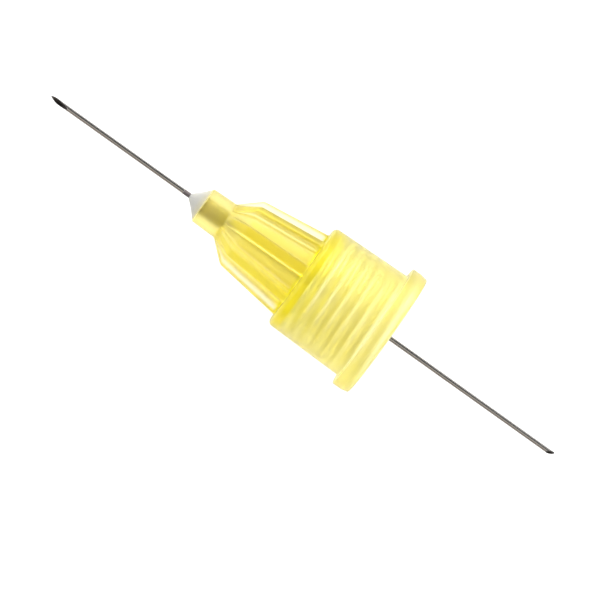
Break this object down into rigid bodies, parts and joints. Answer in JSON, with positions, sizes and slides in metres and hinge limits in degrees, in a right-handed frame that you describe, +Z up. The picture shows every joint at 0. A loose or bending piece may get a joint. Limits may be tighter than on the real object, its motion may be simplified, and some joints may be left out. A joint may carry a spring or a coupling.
{
  "type": "dental needle",
  "caption": "Double-ended dental injection needle: a fine bevelled steel tube glued through a translucent yellow hub with fins, a threaded skirt and a flange.",
  "frame": {"origin": "on the table that the needle lies on, under the middle of its length", "axes": "+X along the table towards the patient end, +Z up; the needle's own axis lies in the XZ plane, and its patient end points 7.75 degrees down"},
  "size_m": [0.0356, 0.0082, 0.0082],
  "materials": {
    "hub_plastic": "moulded, translucent, satin gloss",
    "adhesive": "cured glue, milky",
    "steel": "drawn tube, polished along its length"
  },
  "bodies": {
    "root": {"hub": "hub_plastic", "adhesive": "adhesive", "cannula": "steel"}
  },
  "joints": []
}
